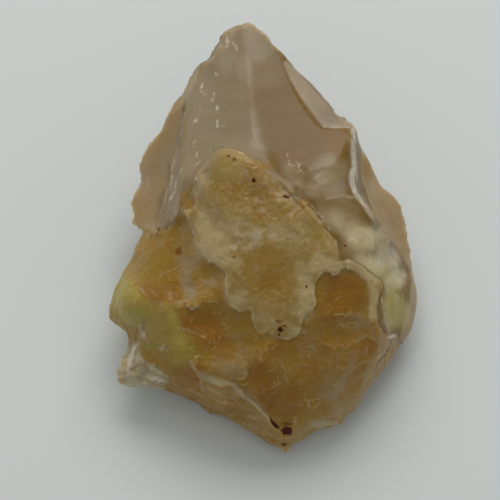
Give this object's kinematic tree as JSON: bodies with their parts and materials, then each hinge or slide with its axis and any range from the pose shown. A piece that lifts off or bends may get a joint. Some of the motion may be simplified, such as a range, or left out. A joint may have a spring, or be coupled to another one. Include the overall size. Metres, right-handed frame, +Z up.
{
  "type": "dendritic agate specimen",
  "caption": "Rough hand specimen of translucent dendritic agate: a broken lump with a pointed end, smooth struck faces and a scalloped yellow rind",
  "frame": {"origin": "centre of the box round the stone, on the surface that it rests on", "axes": "+Y points from the toe to the pointed end, +X is to the right of the broad rind face, +Z is up"},
  "size_m": [0.0618, 0.0826, 0.0369],
  "materials": {
    "agate": "glassy to waxy broken chalcedony, translucent"
  },
  "bodies": {
    "root": {"agate": "agate"}
  },
  "joints": []
}
